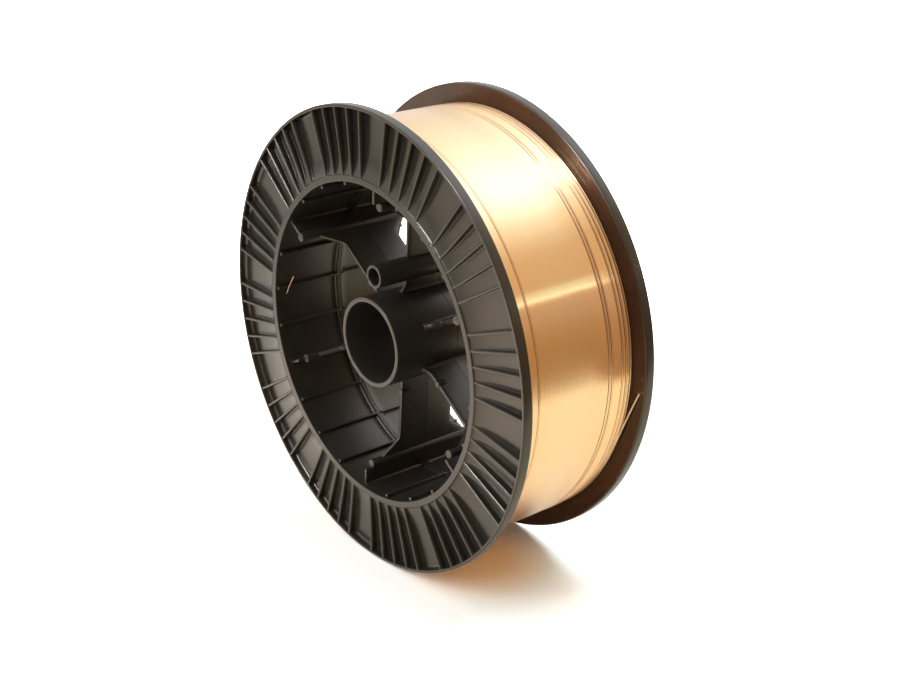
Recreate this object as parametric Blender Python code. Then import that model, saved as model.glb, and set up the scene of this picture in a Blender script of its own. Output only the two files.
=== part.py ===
"""A flanged plastic spool wound with copper coated steel welding wire.

Metres, +Z up. The spool's axis is Y and the origin is the centre of its bore at mid width. It
stands on its two rims. Angles run from +Z towards +X, as seen when looking along +Y, and a depth
is measured from an outer face of the spool towards its middle.

The spool is two equal mouldings. Each is a ribbed dished flange with half of the drum, half of the
hub tube and half of the driving tube, tied together by six radial fins. The second half is the
first one given half a turn about a line across the spool, so both meet at mid width.
"""

import math

import bmesh
import bpy
from mathutils import Matrix, Vector

# Flange
FLANGE_RADIUS = 0.150
SPOOL_WIDTH = 0.103
RIM_WIDTH = 0.007
RIM_LIP = 0.002
RIM_ROUND = 0.0008
RIM_SHOULDER = 0.0014
FLANGE_WALL = 0.0022
FLANGE_ROOT = 0.0032

# Drum
DRUM_WALL = 0.0042
SEAM_RISE = 0.0018
SEAM_WIDTH = 0.0022

# Ribs in the dish of the flange, in groups with a plain field between them
FIELD_COUNT = 12
RIBS_PER_FIELD = 5
RIB_THICKNESS = 0.0013
RIB_SETBACK = 0.0003

# Ribs along the inside of the drum, three between each pair of fins
LINING_RIBS_PER_FIN = 3
LINING_RIB_THICKNESS = 0.0013
LINING_RIB_HEIGHT = 0.0025
LINING_RIB_SETBACK = 0.0016

# Hub tube
BORE_RADIUS = 0.02625
HUB_WALL = 0.003
HUB_SETBACK = 0.004

# Driving tube, which takes the pin of the wire feeder
DRIVE_PITCH = 0.0445
DRIVE_RADIUS = 0.0056
DRIVE_WALL = 0.0019
DRIVE_SETBACK = 0.0055

# Radial fins between hub and drum, each with a round post near the drum. The fins are counted
# from 0, and the post on the fin LONG_POST reaches as far forward as the fin's tip
FIN_COUNT = 6
FIN_PHASE = math.radians(5)
FIN_THICKNESS = 0.0022
FIN_SETBACK = 0.0305
FIN_HUB_RISE = 0.0035
FIN_HUB_REACH = 0.0055
FIN_KNEE_INSET = 0.0258
FIN_SHOULDER_SETBACK = 0.0150
FIN_TIP_SETBACK = 0.0035
POST_INSET = 0.0133
POST_RADIUS = 0.0029
POST_SETBACK = 0.0080
LONG_POST = 5
BOSS_OFFSET = 0.01325
BOSS_RADIUS = 0.0021

# Wire. Its grooves are open joints between turns, at these distances from the nearer flange
WIRE_DIAMETER = 0.0010
COIL_MARGIN = 0.0125
WINDING_DEPTH = 0.0302
GROOVE_DEPTH = 0.0005
FRONT_GROOVES = (0.0163,)
REAR_GROOVES = (0.0178, 0.0154, 0.0034)
TAIL_LENGTH = 0.0514
TAIL_ANGLE = math.radians(114.5)

# First end of the wire, which comes through a hole in the drum and is bent up inside it
START_ANGLE = math.radians(272)
START_SETBACK = 0.0075
START_HOLE_RADIUS = 0.0013
START_REACH = 0.017
START_ELBOW_INSET = 0.0035
START_TIP_INSET = 0.009

# Neighbouring pieces keep this gap, and joined shapes run this far into each other
GAP = 0.0003
OVERLAP = 0.0005

HALF_WIDTH = (SPOOL_WIDTH - GAP) / 2
COIL_RADIUS = FLANGE_RADIUS - COIL_MARGIN
DRUM_RADIUS = COIL_RADIUS - WINDING_DEPTH - GAP
DRUM_INNER = DRUM_RADIUS - DRUM_WALL
RIM_INNER = FLANGE_RADIUS - RIM_LIP
HUB_RADIUS = BORE_RADIUS + HUB_WALL
DRIVE_OUTER = DRIVE_RADIUS + DRIVE_WALL
POST_PITCH = DRUM_INNER - POST_INSET
LONG_POST_SETBACK = FIN_TIP_SETBACK - GAP
FIN_KNEE = DRUM_INNER - FIN_KNEE_INSET
BOSS_PITCH = HUB_RADIUS + BOSS_OFFSET

RIM_FACETS = 72
HUB_FACETS = 36
DRIVE_FACETS = 20
POST_FACETS = 12
WIRE_FACETS = 8
SHARP_ANGLE = math.radians(28)


def flat_radius(radius, facets):
    """Radius of the corners of a polygon whose flats lie on the circle of this radius."""
    return radius / math.cos(math.pi / facets)


def place(radius, depth, angle):
    """A point at this radius and angle, this deep behind the front face."""
    return Vector((radius * math.sin(angle), depth - SPOOL_WIDTH / 2, radius * math.cos(angle)))


def wire_side(radius):
    """Depth of the wire side of the flange, a shallow cone from the drum to the rim."""
    share = (radius - DRUM_RADIUS) / (FLANGE_RADIUS - DRUM_RADIUS)
    return FLANGE_ROOT + share * (RIM_WIDTH - FLANGE_ROOT)


def dish_floor(radius):
    """Depth of the dish's floor, one wall outside the wire side."""
    return wire_side(radius) - FLANGE_WALL


def mesh_object(name, shape):
    """Puts a bmesh with its faces turned outward into a new object."""
    bmesh.ops.recalc_face_normals(shape, faces=shape.faces)
    mesh = bpy.data.meshes.new(name)
    shape.to_mesh(mesh)
    shape.free()
    result = bpy.data.objects.new(name, mesh)
    bpy.context.scene.collection.objects.link(result)
    return result


def add_loft(shape, rings):
    """Joins equal rings of points with quads. The last ring joins the first."""
    corners = [[shape.verts.new(point) for point in ring] for ring in rings]
    for near, far in zip(corners, corners[1:] + corners[:1]):
        for i in range(len(near)):
            j = (i + 1) % len(near)
            shape.faces.new((near[i], near[j], far[j], far[i]))


def add_tube(shape, rings):
    """Joins equal rings of points with quads and closes both ends."""
    corners = [[shape.verts.new(point) for point in ring] for ring in rings]
    for near, far in zip(corners, corners[1:]):
        for i in range(len(near)):
            j = (i + 1) % len(near)
            shape.faces.new((near[i], near[j], far[j], far[i]))
    shape.faces.new(corners[0])
    shape.faces.new(corners[-1])


def turned(name, section, facets):
    """Turns a closed section of (radius, depth) points about the spool's axis.

    The flats of the facets face the angles 5, 5 + 360 / facets and so on, like the ribs.
    """
    shape = bmesh.new()
    step = 2 * math.pi / facets
    rings = []
    for i in range(facets):
        angle = FIN_PHASE + (i + 0.5) * step
        rings.append([place(flat_radius(radius, facets), depth, angle) for radius, depth in section])
    add_loft(shape, rings)
    return mesh_object(name, shape)


def add_plate(shape, outline, angle, thickness, lean=0.0):
    """A plate in the radial plane at this angle, with an outline of (radius, depth) points.

    Its thickness grows by lean from the shallowest point of the outline to the deepest.
    """
    across = Vector((math.cos(angle), 0, -math.sin(angle)))
    depths = [depth for radius, depth in outline]
    sides = []
    for sign in (-1, 1):
        side = []
        for radius, depth in outline:
            share = (depth - min(depths)) / (max(depths) - min(depths))
            half = (thickness + lean * share) / 2
            side.append(place(radius, depth, angle) + across * half * sign)
        sides.append(side)
    add_tube(shape, sides)


def add_rod(shape, pitch, angle, radius, near, far, facets):
    """A rod along the spool's axis, centred at this pitch radius and angle."""
    rings = []
    for depth in (near, far):
        centre = place(pitch, depth, angle)
        ring = []
        for i in range(facets):
            turn = (i + 0.5) * 2 * math.pi / facets
            side = Vector((math.sin(turn), 0, math.cos(turn)))
            ring.append(centre + side * flat_radius(radius, facets))
        rings.append(ring)
    add_tube(shape, rings)


def fin_angles():
    return [FIN_PHASE + i * 2 * math.pi / FIN_COUNT for i in range(FIN_COUNT)]


def moulding_section():
    """Section of the flange, its two lips and the drum, as (radius, depth) points."""
    half_round = RIM_ROUND * (1 - math.sqrt(0.5))
    half_shoulder = RIM_SHOULDER * (1 - math.sqrt(0.5))
    return [
        (DRUM_INNER, 0),
        (DRUM_RADIUS, 0),
        (DRUM_RADIUS, dish_floor(DRUM_RADIUS)),
        (RIM_INNER, dish_floor(RIM_INNER)),
        (RIM_INNER, 0),
        (FLANGE_RADIUS - RIM_ROUND, 0),
        (FLANGE_RADIUS - half_round, half_round),
        (FLANGE_RADIUS, RIM_ROUND),
        (FLANGE_RADIUS, RIM_WIDTH - RIM_SHOULDER),
        (FLANGE_RADIUS - half_shoulder, RIM_WIDTH - half_shoulder),
        (FLANGE_RADIUS - RIM_SHOULDER, wire_side(FLANGE_RADIUS - RIM_SHOULDER)),
        (DRUM_RADIUS, FLANGE_ROOT),
        (DRUM_RADIUS, HALF_WIDTH),
        (DRUM_INNER - SEAM_RISE, HALF_WIDTH),
        (DRUM_INNER - SEAM_RISE, HALF_WIDTH - SEAM_WIDTH),
        (DRUM_INNER, HALF_WIDTH - SEAM_WIDTH),
    ]


def flange_ribs():
    """Groups of tapered ribs that stand in the dish, from the drum's end to the rim's lip."""
    shape = bmesh.new()
    inner = DRUM_RADIUS - OVERLAP
    outer = RIM_INNER + OVERLAP
    outline = [
        (inner, RIB_SETBACK),
        (outer, RIB_SETBACK),
        (outer, dish_floor(outer) + OVERLAP),
        (inner, dish_floor(inner) + OVERLAP),
    ]
    pitch = 2 * math.pi / (FIELD_COUNT * (RIBS_PER_FIELD + 1))
    for field in range(FIELD_COUNT):
        for rib in range(1, RIBS_PER_FIELD + 1):
            angle = FIN_PHASE + (field * (RIBS_PER_FIELD + 1) + rib) * pitch
            add_plate(shape, outline, angle, RIB_THICKNESS, lean=RIB_THICKNESS / 4)
    return mesh_object("flange_ribs", shape)


def lining_ribs():
    """Low ribs along the inside of the drum, between the fins."""
    shape = bmesh.new()
    outline = [
        (DRUM_INNER + OVERLAP, LINING_RIB_SETBACK),
        (DRUM_INNER - LINING_RIB_HEIGHT, LINING_RIB_SETBACK),
        (DRUM_INNER - LINING_RIB_HEIGHT, HALF_WIDTH - SEAM_WIDTH / 2),
        (DRUM_INNER + OVERLAP, HALF_WIDTH - SEAM_WIDTH / 2),
    ]
    for fin in fin_angles():
        for rib in range(1, LINING_RIBS_PER_FIN + 1):
            share = rib / (LINING_RIBS_PER_FIN + 1)
            angle = fin + share * 2 * math.pi / FIN_COUNT
            add_plate(shape, outline, angle, LINING_RIB_THICKNESS)
    return mesh_object("lining_ribs", shape)


def fins():
    """Radial fins, waisted at the hub and reaching forward to the posts and the drum's end."""
    shape = bmesh.new()
    inner = HUB_RADIUS - HUB_WALL / 2
    outline = [
        (inner, HALF_WIDTH),
        (inner, FIN_SETBACK - FIN_HUB_RISE),
        (HUB_RADIUS, FIN_SETBACK - FIN_HUB_RISE),
        (HUB_RADIUS + FIN_HUB_REACH / 3, FIN_SETBACK - FIN_HUB_RISE / 4),
        (HUB_RADIUS + FIN_HUB_REACH, FIN_SETBACK),
        (FIN_KNEE, FIN_SETBACK),
        (POST_PITCH - POST_RADIUS / 2, FIN_SHOULDER_SETBACK),
        (POST_PITCH, FIN_SHOULDER_SETBACK),
        (POST_PITCH + POST_RADIUS, FIN_TIP_SETBACK),
        (DRUM_INNER + OVERLAP, FIN_TIP_SETBACK),
        (DRUM_INNER + OVERLAP, HALF_WIDTH),
    ]
    for angle in fin_angles():
        add_plate(shape, outline, angle, FIN_THICKNESS)
    return mesh_object("fins", shape)


def posts():
    """A round post on each fin near the drum, and a small boss on its front edge by the hub."""
    shape = bmesh.new()
    for i, angle in enumerate(fin_angles()):
        near = LONG_POST_SETBACK if i == LONG_POST else POST_SETBACK
        add_rod(shape, POST_PITCH, angle, POST_RADIUS, near, HALF_WIDTH, POST_FACETS)
    for angle in fin_angles()[1:]:
        boss_far = FIN_SETBACK + 2 * BOSS_RADIUS
        add_rod(shape, BOSS_PITCH, angle, BOSS_RADIUS, FIN_SETBACK - GAP, boss_far, WIRE_FACETS)
    return mesh_object("posts", shape)


def hub_tube():
    section = [
        (BORE_RADIUS, HUB_SETBACK),
        (HUB_RADIUS, HUB_SETBACK),
        (HUB_RADIUS, HALF_WIDTH),
        (BORE_RADIUS, HALF_WIDTH),
    ]
    return turned("hub_tube", section, HUB_FACETS)


def rod_object(name, radius, near, far):
    """A rod on the driving tube's axis."""
    shape = bmesh.new()
    add_rod(shape, DRIVE_PITCH, FIN_PHASE, radius, near, far, DRIVE_FACETS)
    return mesh_object(name, shape)


def start_hole():
    """Cutter for the small hole in the drum that the wire's first end is threaded through."""
    shape = bmesh.new()
    across = Vector((math.cos(START_ANGLE), 0, -math.sin(START_ANGLE)))
    rings = []
    for radius in (DRUM_INNER - OVERLAP, DRUM_RADIUS + OVERLAP):
        centre = place(radius, START_SETBACK, START_ANGLE)
        ring = []
        for i in range(WIRE_FACETS):
            turn = (i + 0.5) * 2 * math.pi / WIRE_FACETS
            side = across * math.cos(turn) + Vector((0, math.sin(turn), 0))
            ring.append(centre + side * flat_radius(START_HOLE_RADIUS, WIRE_FACETS))
        rings.append(ring)
    add_tube(shape, rings)
    return mesh_object("start_hole", shape)


def combine(base, helpers):
    """Joins or cuts helpers, in order, and leaves the result as the base's plain mesh."""
    for helper, operation in helpers:
        helper.hide_render = True
        helper.display_type = "WIRE"
        modifier = base.modifiers.new(helper.name, "BOOLEAN")
        modifier.operation = operation
        modifier.solver = "EXACT"
        modifier.object = helper
    graph = bpy.context.evaluated_depsgraph_get()
    plain = bpy.data.meshes.new_from_object(base.evaluated_get(graph))
    base.modifiers.clear()
    base.data = plain
    for helper, operation in helpers:
        bpy.data.objects.remove(helper)


def smooth(mesh):
    mesh.shade_smooth()
    mesh.set_sharp_from_angle(angle=SHARP_ANGLE)


def finish(name, colour, roughness, metallic):
    material = bpy.data.materials.new(name)
    material.use_nodes = True
    shader = material.node_tree.nodes["Principled BSDF"]
    shader.inputs["Base Color"].default_value = (*colour, 1)
    shader.inputs["Roughness"].default_value = roughness
    shader.inputs["Metallic"].default_value = metallic
    return material


def spool_halves():
    front = turned("spool_half_front", moulding_section(), RIM_FACETS)
    combine(
        front,
        [
            (flange_ribs(), "UNION"),
            (lining_ribs(), "UNION"),
            (hub_tube(), "UNION"),
            (fins(), "UNION"),
            (posts(), "UNION"),
            (rod_object("drive_tube", DRIVE_OUTER, DRIVE_SETBACK, HALF_WIDTH), "UNION"),
            (rod_object("drive_hole", DRIVE_RADIUS, 0, SPOOL_WIDTH), "DIFFERENCE"),
            (start_hole(), "DIFFERENCE"),
        ],
    )
    smooth(front.data)
    front.data.materials.append(finish("black_plastic", (0.028, 0.025, 0.022), 0.42, 0))
    rear = bpy.data.objects.new("spool_half_rear", front.data)
    fold_line = Vector((math.sin(FIN_PHASE), 0, math.cos(FIN_PHASE)))
    rear.matrix_world = Matrix.Rotation(math.pi, 4, fold_line)
    bpy.context.scene.collection.objects.link(rear)


def coil_section():
    """Section of the wound wire: it fills the trough and has a few open grooves between turns."""
    inner = DRUM_RADIUS + GAP
    flange = wire_side(COIL_RADIUS)
    points = [(inner, wire_side(inner) + GAP), (COIL_RADIUS, flange + GAP)]
    middles = [flange + groove for groove in FRONT_GROOVES]
    middles += [SPOOL_WIDTH - flange - groove for groove in REAR_GROOVES]
    for middle in middles:
        points.append((COIL_RADIUS, middle - WIRE_DIAMETER / 2))
        points.append((COIL_RADIUS - GROOVE_DEPTH, middle))
        points.append((COIL_RADIUS, middle + WIRE_DIAMETER / 2))
    points.append((COIL_RADIUS, SPOOL_WIDTH - flange - GAP))
    points.append((inner, SPOOL_WIDTH - wire_side(inner) - GAP))
    return points


def sweep(name, route):
    """A round wire along a route of points, with flat ends."""
    shape = bmesh.new()
    rings = []
    for i, point in enumerate(route):
        ahead = route[min(i + 1, len(route) - 1)]
        behind = route[max(i - 1, 0)]
        along = (ahead - behind).normalized()
        side = along.cross(Vector((0, 1, 0))).normalized()
        other = along.cross(side)
        ring = []
        for j in range(WIRE_FACETS):
            turn = j * 2 * math.pi / WIRE_FACETS
            ring.append(point + (side * math.cos(turn) + other * math.sin(turn)) * WIRE_DIAMETER / 2)
        rings.append(ring)
    add_tube(shape, rings)
    return mesh_object(name, shape)


def tail_route():
    """The free outer end: it leaves the last turn, beside the rear flange, along the tangent."""
    depth = SPOOL_WIDTH - RIM_WIDTH - GAP - WIRE_DIAMETER / 2
    leave = place(COIL_RADIUS - WIRE_DIAMETER / 4, depth, TAIL_ANGLE)
    along = Vector((-math.cos(TAIL_ANGLE), 0, math.sin(TAIL_ANGLE)))
    buried = place(COIL_RADIUS - 2 * WIRE_DIAMETER, depth, TAIL_ANGLE) - along * TAIL_LENGTH / 8
    return [buried, leave, leave + along * TAIL_LENGTH / 2, leave + along * TAIL_LENGTH]


def start_route():
    """The first end: through the hole in the drum, then bent up inside it."""
    turn = math.atan(START_REACH / DRUM_INNER)
    elbow = place(DRUM_INNER - START_ELBOW_INSET, START_SETBACK, START_ANGLE + turn / 10)
    tip = place(DRUM_INNER - START_TIP_INSET, START_SETBACK + WIRE_DIAMETER, START_ANGLE + turn)
    return [
        place(DRUM_RADIUS + 2 * WIRE_DIAMETER, START_SETBACK, START_ANGLE),
        place(DRUM_INNER, START_SETBACK, START_ANGLE),
        place(DRUM_INNER - 2 * WIRE_DIAMETER, START_SETBACK, START_ANGLE),
        elbow,
        tip,
    ]


def wire():
    coil = turned("wire_coil", coil_section(), RIM_FACETS)
    combine(coil, [(sweep("tail", tail_route()), "UNION"), (sweep("start", start_route()), "UNION")])
    smooth(coil.data)
    coil.data.materials.append(finish("copper_coated_wire", (0.62, 0.33, 0.2), 0.3, 1))


def main():
    for old in list(bpy.data.objects):
        bpy.data.objects.remove(old)
    spool_halves()
    wire()


main()
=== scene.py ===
"""Surfaces, materials, light and camera for a plastic spool of copper coated welding wire.

Metres, +Z up. The spool's axis is Y. An angle runs from +Z towards +X as seen when looking along
+Y, and a depth is measured from the front face of the spool towards its middle.
"""

import math

import bpy
import numpy as np
from mathutils import Matrix, Vector


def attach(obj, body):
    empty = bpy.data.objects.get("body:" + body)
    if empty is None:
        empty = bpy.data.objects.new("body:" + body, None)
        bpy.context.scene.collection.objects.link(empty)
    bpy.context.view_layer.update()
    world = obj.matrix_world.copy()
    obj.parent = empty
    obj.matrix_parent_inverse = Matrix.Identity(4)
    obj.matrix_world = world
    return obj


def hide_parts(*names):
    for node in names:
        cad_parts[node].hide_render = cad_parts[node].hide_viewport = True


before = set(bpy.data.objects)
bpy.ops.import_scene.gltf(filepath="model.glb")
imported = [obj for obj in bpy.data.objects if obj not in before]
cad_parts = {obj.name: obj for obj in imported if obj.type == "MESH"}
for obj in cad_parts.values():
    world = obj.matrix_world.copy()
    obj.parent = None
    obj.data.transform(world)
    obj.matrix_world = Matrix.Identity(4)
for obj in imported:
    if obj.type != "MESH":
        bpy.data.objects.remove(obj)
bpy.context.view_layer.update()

MM = 0.001

# Sizes of the spool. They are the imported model's, but the dish's floor lies about 1 mm deeper
FLANGE_RADIUS = 150.0 * MM
SPOOL_WIDTH = 103.0 * MM
HALF_WIDTH = 51.35 * MM
RIM_WIDTH = 7.0 * MM
RIM_LIP = 2.0 * MM
RIM_ROUND = 0.8 * MM
RIM_SHOULDER = 1.4 * MM
ROOT_FLOOR = 1.0 * MM
FLOOR_FALL = 3.9 * MM
FLOOR_REACH = 11.0 * MM
FLANGE_ROOT = 3.2 * MM
DRUM_RADIUS = 107.0 * MM
DRUM_INNER = 102.8 * MM
SEAM_RISE = 1.8 * MM
SEAM_WIDTH = 2.2 * MM
RIB_PITCH = math.radians(5)
FIN_PHASE = math.radians(5)
FIN_COUNT = 6
RIB_SETBACK = 0.3 * MM
LINING_RIB_HEIGHT = 2.5 * MM
LINING_RIB_SETBACK = 1.6 * MM
LINING_NOSE_PITCH = DRUM_INNER - 1.3 * MM
LINING_NOSE_RADIUS = 1.25 * MM
LINING_NOSE_SETBACK = 1.2 * MM
BORE_RADIUS = 26.25 * MM
HUB_RADIUS = 29.25 * MM
HUB_SETBACK = 4.0 * MM
DRIVE_PITCH = 44.5 * MM
DRIVE_RADIUS = 5.6 * MM
DRIVE_OUTER = 7.5 * MM
DRIVE_SETBACK = 5.5 * MM
FIN_SETBACK = 30.5 * MM
FIN_SHOULDER_SETBACK = 15.0 * MM
FIN_KNEE = 77.0 * MM
FIN_SHOULDER = 88.0 * MM
WEB_START = 92.1 * MM
WEB_SETBACK = 3.9 * MM
POST_PITCH = 89.5 * MM
POST_RADIUS = 2.9 * MM
POST_SETBACK = 8.0 * MM
LONG_POST = 5
LONG_POST_SETBACK = 3.2 * MM
BOSS_PITCH = 42.5 * MM
BOSS_RADIUS = 2.1 * MM
WIRE_RADIUS = 0.5 * MM
COIL_RADIUS = 137.5 * MM
COIL_GAP = 0.3 * MM
FLOOR_LEVEL = -FLANGE_RADIUS

# Steps round the spool, in places of one rib, from a fin to the next gap between the dish's ribs, to
# the next rib of the drum's lining and to the next fin
GAP_STEP = 6
LINING_STEP = 3
FIN_STEP = 12

# Camera of the photograph
CAMERA_PLACE = (0.6761, -0.5265, 0.3340)
CAMERA_RIGHT = (0.6283, 0.7780, -0.0052)
CAMERA_UP = (-0.2859, 0.2371, 0.9285)
CAMERA_BACK = (0.7236, -0.5818, 0.3713)
CAMERA_LENS = 56.9
SENSOR_WIDTH = 36.0


def turned_point(radius, depth, angle):
    """Points at these radii, depths and angles: x = r sin a, y = depth - half width, z = r cos a."""
    radius, depth, angle = np.broadcast_arrays(radius, depth, angle)
    return np.stack(
        [radius * np.sin(angle), depth - SPOOL_WIDTH / 2, radius * np.cos(angle)], axis=-1
    )


def half_turn(points):
    """Turns points by half a turn about the line across the spool at the fins' phase.

    p' = 2 (p . a) a - p, with a the unit vector along that line.
    """
    axis = np.array([math.sin(FIN_PHASE), 0.0, math.cos(FIN_PHASE)])
    return 2 * (points @ axis)[..., None] * axis - points


class Shell:
    """A closed surface on a grid of rows and columns, whose columns always join round.

    The rows join round too where closed_rows is set. Otherwise the first and last row each get one
    flat end face.
    """

    def __init__(self, points, closed_rows=False):
        self.points = points
        self.closed_rows = closed_rows

    def faces(self):
        rows, columns = self.points.shape[:2]
        index = np.arange(rows * columns).reshape(rows, columns)
        ahead = np.roll(index, -1, axis=1)
        last = rows if self.closed_rows else rows - 1
        below = np.roll(index, -1, axis=0)[:last]
        below_ahead = np.roll(ahead, -1, axis=0)[:last]
        quads = np.stack([index[:last], ahead[:last], below_ahead, below], axis=-1).reshape(-1, 4)
        ends = [] if self.closed_rows else [index[0][::-1], index[-1]]
        if self.volume(quads, ends) < 0:
            quads = quads[:, ::-1]
            ends = [end[::-1] for end in ends]
        return quads, ends

    def volume(self, quads, ends):
        """Signed volume under the faces, as a sum of the boxes that their corners span."""
        flat = self.points.reshape(-1, 3)
        a, b, c, d = (flat[quads[:, i]] for i in range(4))
        total = np.einsum("ij,ij->", a, np.cross(b, c)) + np.einsum("ij,ij->", a, np.cross(c, d))
        for end in ends:
            ring = flat[end]
            total += np.einsum("ij,j->", np.cross(ring, np.roll(ring, -1, axis=0)), ring.mean(axis=0))
        return total


def make_piece(name, shells, material, node, sharp=50):
    """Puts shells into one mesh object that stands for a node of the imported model."""
    points = np.concatenate([shell.points.reshape(-1, 3) for shell in shells])
    corners = []
    sizes = []
    start = 0
    for shell in shells:
        quads, ends = shell.faces()
        corners.append(quads.reshape(-1) + start)
        sizes.append(np.full(len(quads), 4))
        for end in ends:
            corners.append(end + start)
            sizes.append(np.array([len(end)]))
        start += shell.points.shape[0] * shell.points.shape[1]
    corners = np.concatenate(corners)
    sizes = np.concatenate(sizes)
    mesh = bpy.data.meshes.new(name)
    mesh.vertices.add(len(points))
    mesh.vertices.foreach_set("co", points.astype(np.float32).reshape(-1))
    mesh.loops.add(len(corners))
    mesh.loops.foreach_set("vertex_index", corners.astype(np.int32))
    mesh.polygons.add(len(sizes))
    mesh.polygons.foreach_set("loop_start", (np.cumsum(sizes) - sizes).astype(np.int32))
    mesh.update(calc_edges=True)
    mesh.validate()
    mesh.shade_smooth()
    mesh.set_sharp_from_angle(angle=math.radians(sharp))
    piece = bpy.data.objects.new(name, mesh)
    bpy.context.scene.collection.objects.link(piece)
    mesh.materials.append(material)
    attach(piece, "root")
    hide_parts(node)
    return piece


def wire_side(radius):
    """Depth of the wire side of a flange: a shallow cone from the drum out to the rim."""
    share = (radius - DRUM_RADIUS) / (FLANGE_RADIUS - DRUM_RADIUS)
    return FLANGE_ROOT + share * (RIM_WIDTH - FLANGE_ROOT)


def dish_floor(radius):
    """Depth of the floor of the dish, which rises to the drum's end: a + b (1 - e^(-x / c))."""
    return ROOT_FLOOR + FLOOR_FALL * (1 - np.exp((DRUM_RADIUS - radius) / FLOOR_REACH))


# Distances from the middle of a rib to the columns beside it. The first of them, TOP_COLUMNS in all,
# lie RIB_FALL below the rib's top, and the others lie RIB_FOOT above its foot. A rib lower than
# FULL_RIB has both scaled down
RIB_COLUMNS = np.array([0.0, 0.4, 0.5, 0.7, 0.8, 0.92, 1.2, 1.8]) * MM
RIB_FALL = np.array([0.0, 0.0, 0.05, 0.21, 0.33, 0.0, 0.0, 0.0]) * MM
RIB_FOOT = np.array([0.0, 0.0, 0.0, 0.0, 0.0, 0.12, 0.0, 0.0]) * MM
TOP_COLUMNS = 5
FULL_RIB = 1.1 * MM


def sector_columns():
    """The rib's place that each column belongs to, and the column's signed distance from the rib.

    The last column of a place lies half way to the next rib and has no distance.
    """
    count = round(2 * math.pi / RIB_PITCH)
    aside = np.concatenate([-RIB_COLUMNS[:0:-1], RIB_COLUMNS, [np.nan]])
    sector = np.repeat(np.arange(count), len(aside))
    return sector, np.tile(aside, count)


def rib_shape(height):
    """Height above the foot of each column of one sector, for ribs of this height.

    The top columns fall from the rib's top by RIB_FALL and the foot columns rise by RIB_FOOT, both
    scaled down where the rib is lower than FULL_RIB.
    """
    scale = np.clip(height / FULL_RIB, 0, 1)[:, None]
    top = height[:, None] - RIB_FALL[None, :] * scale
    foot = RIB_FOOT[None, :] * scale
    side = np.where(np.arange(len(RIB_COLUMNS)) < TOP_COLUMNS, top, foot)
    between = np.zeros((len(height), 1))
    return np.concatenate([side[:, :0:-1], side, between], axis=1)


def arc_rows(centre, radius, first, last, steps):
    """(radius, depth) rows on a quarter round, from one angle to another in degrees."""
    turn = np.radians(np.linspace(first, last, steps))
    return [(centre[0] + radius * math.sin(a), centre[1] - radius * math.cos(a)) for a in turn]


def moulding_rows():
    """The section of the flange and drum as rows of (radius, depth, zone), once round."""
    root_floor = dish_floor(DRUM_RADIUS)
    lip = FLANGE_RADIUS - RIM_LIP
    edge = 0.35 * MM
    rows = [(r, d, "lip") for r, d in arc_rows((DRUM_INNER + edge, edge), edge, -45, 0, 2)]
    rows += [
        (DRUM_INNER + 0.5 * MM, 0, "lip"),
        (DRUM_RADIUS - 0.7 * MM, 0, "lip"),
        (DRUM_RADIUS - 0.55 * MM, 0, "lip"),
        (DRUM_RADIUS - 0.33 * MM, 0.06 * MM, "dish"),
        (DRUM_RADIUS - 0.22 * MM, 0.24 * MM, "dish"),
        (DRUM_RADIUS - 0.12 * MM, root_floor - 0.35 * MM, "dish"),
        (DRUM_RADIUS + 0.1 * MM, root_floor - 0.09 * MM, "dish"),
    ]
    for radius in np.array([107.6, 109, 111, 114, 118, 124, 131, 138, 143, 145.5]) * MM:
        rows.append((radius, dish_floor(radius), "dish"))
    outer_floor = dish_floor(lip)
    rows += [
        (lip - 1.5 * MM, outer_floor - 0.15 * MM, "dish"),
        (lip - 0.8 * MM, outer_floor - 0.55 * MM, "dish"),
        (lip - 0.35 * MM, outer_floor - 1.2 * MM, "dish"),
        (lip - 0.15 * MM, outer_floor - 2.2 * MM, "dish"),
        (lip, 0.3 * MM, "dish"),
        (lip + 0.08 * MM, 0.09 * MM, "dish"),
        (lip + 0.3 * MM, 0, "lip"),
    ]
    rim = FLANGE_RADIUS - RIM_ROUND
    rows += [(r, d, "rim") for r, d in arc_rows((rim, RIM_ROUND), RIM_ROUND, 0, 90, 5)]
    rows.append((FLANGE_RADIUS, RIM_WIDTH / 2, "rim"))
    shoulder = (FLANGE_RADIUS - RIM_SHOULDER, RIM_WIDTH - RIM_SHOULDER)
    rows += [(r, d, "rim") for r, d in arc_rows(shoulder, RIM_SHOULDER, 90, 172, 7)]
    for radius in np.array([147.8, 144, 140, 136.5, 125, 108.5]) * MM:
        rows.append((radius, wire_side(radius), "wire side"))
    rows += [
        (DRUM_RADIUS, FLANGE_ROOT + 0.8 * MM, "drum"),
        (DRUM_RADIUS, HALF_WIDTH - 0.2 * MM, "drum"),
        (DRUM_RADIUS - 0.2 * MM, HALF_WIDTH, "drum"),
    ]
    crest = DRUM_INNER - SEAM_RISE
    rows += [
        (crest + 0.3 * MM, HALF_WIDTH, "lining"),
        (crest + 0.08 * MM, HALF_WIDTH - 0.1 * MM, "lining"),
        (crest, HALF_WIDTH - 0.35 * MM, "lining"),
        (crest, HALF_WIDTH - SEAM_WIDTH + 0.4 * MM, "lining"),
        (crest + 0.25 * MM, HALF_WIDTH - SEAM_WIDTH, "lining"),
        (DRUM_INNER - 0.4 * MM, HALF_WIDTH - SEAM_WIDTH - 0.15 * MM, "lining"),
        (DRUM_INNER, HALF_WIDTH - SEAM_WIDTH - 0.7 * MM, "lining"),
    ]
    for depth in np.array([44.0, 36.0, 28.0, 20.0, 12.0, 6.0, 2.2, 1.9, 1.72, 1.6, 1.1]) * MM:
        rows.append((DRUM_INNER, depth, "lining"))
    rows.append((DRUM_INNER, edge, "lining"))
    return rows


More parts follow.
